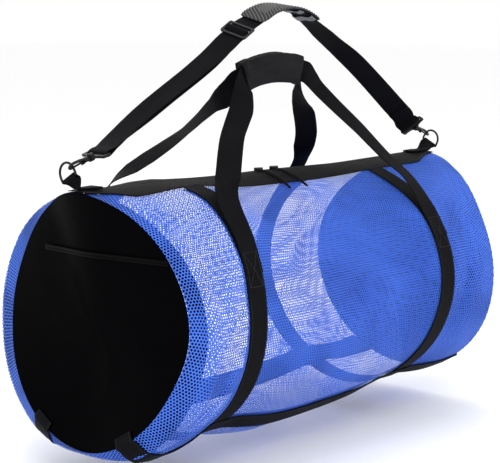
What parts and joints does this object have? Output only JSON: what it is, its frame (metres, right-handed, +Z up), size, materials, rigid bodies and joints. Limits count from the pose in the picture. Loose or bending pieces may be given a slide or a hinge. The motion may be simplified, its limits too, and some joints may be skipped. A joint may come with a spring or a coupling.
{
  "type": "mesh gear bag",
  "caption": "Soft barrel bag of open mesh cloth with webbing hoops, a top zip, joined hand grips and a padded shoulder strap on spring hooks.",
  "frame": {"origin": "under the middle of the shoulder pad, where a shoulder or a hook carries the strap", "axes": "+X along the bag to its mesh end, +Y to its far side, +Z up"},
  "size_m": [0.9172, 0.4423, 0.6822],
  "materials": {
    "blue_mesh": "open polyester mesh, semi-matt",
    "black_cloth": "coated cloth, soft sheen",
    "webbing": "woven polypropylene, matt",
    "zip_band": "woven tape, matt",
    "zip_teeth": "moulded coil",
    "zip_metal": "black enamel",
    "cord": "round cord",
    "black_metal": "black coated, satin",
    "black_plastic": "moulded, satin",
    "pad_rubber": "ribbed, matt",
    "grey_band": "woven grey elastic",
    "grip_cloth": "padded felt-like cloth"
  },
  "bodies": {
    "bag": {"mesh_barrel": "blue_mesh", "seam_allowance": "black_cloth", "hoop_left": "webbing", "hoop_right": "webbing", "end_panel_near": "black_cloth", "end_panel_far": "blue_mesh", "pocket_zip": "zip_band", "bottom_strap_near": "webbing", "bottom_strap_far": "webbing", "zip_tape_near": "zip_band", "zip_tape_far": "zip_band", "zip_coil": "zip_teeth", "zip_slider_left": "zip_metal", "zip_slider_right": "zip_metal", "zip_pull_left": "cord", "zip_pull_right": "cord", "d_ring_left": "black_metal", "d_ring_right": "black_metal", "ring_tab_left": "webbing", "ring_tab_right": "webbing", "hook_left": "black_metal", "hook_frame_left": "black_plastic", "hook_right": "black_metal", "hook_frame_right": "black_plastic", "shoulder_strap": "webbing", "strap_slider": "black_plastic", "shoulder_pad": "pad_rubber", "pad_keeper_middle": "grey_band", "pad_keeper_right": "grey_band", "grip_wrap": "grip_cloth", "handle_near": "webbing", "handle_far": "webbing"},
    "left_gate": {"gate_left": "black_metal"},
    "right_gate": {"gate_right": "black_metal"}
  },
  "joints": [
    {"name": "left_gate_pivot", "type": "hinge", "parent": "bag", "child": "left_gate", "pos_m": [-0.44986, -0.01072, -0.21313], "axis": [-0.1798, 0.7194, 0.6709], "range_deg": [0, 22], "stiffness_Nm_per_rad": 0.02},
    {"name": "right_gate_pivot", "type": "hinge", "parent": "bag", "child": "right_gate", "pos_m": [0.41356, 0.01091, -0.22221], "axis": [0.2442, -0.6614, 0.7092], "range_deg": [0, 22], "stiffness_Nm_per_rad": 0.02}
  ]
}
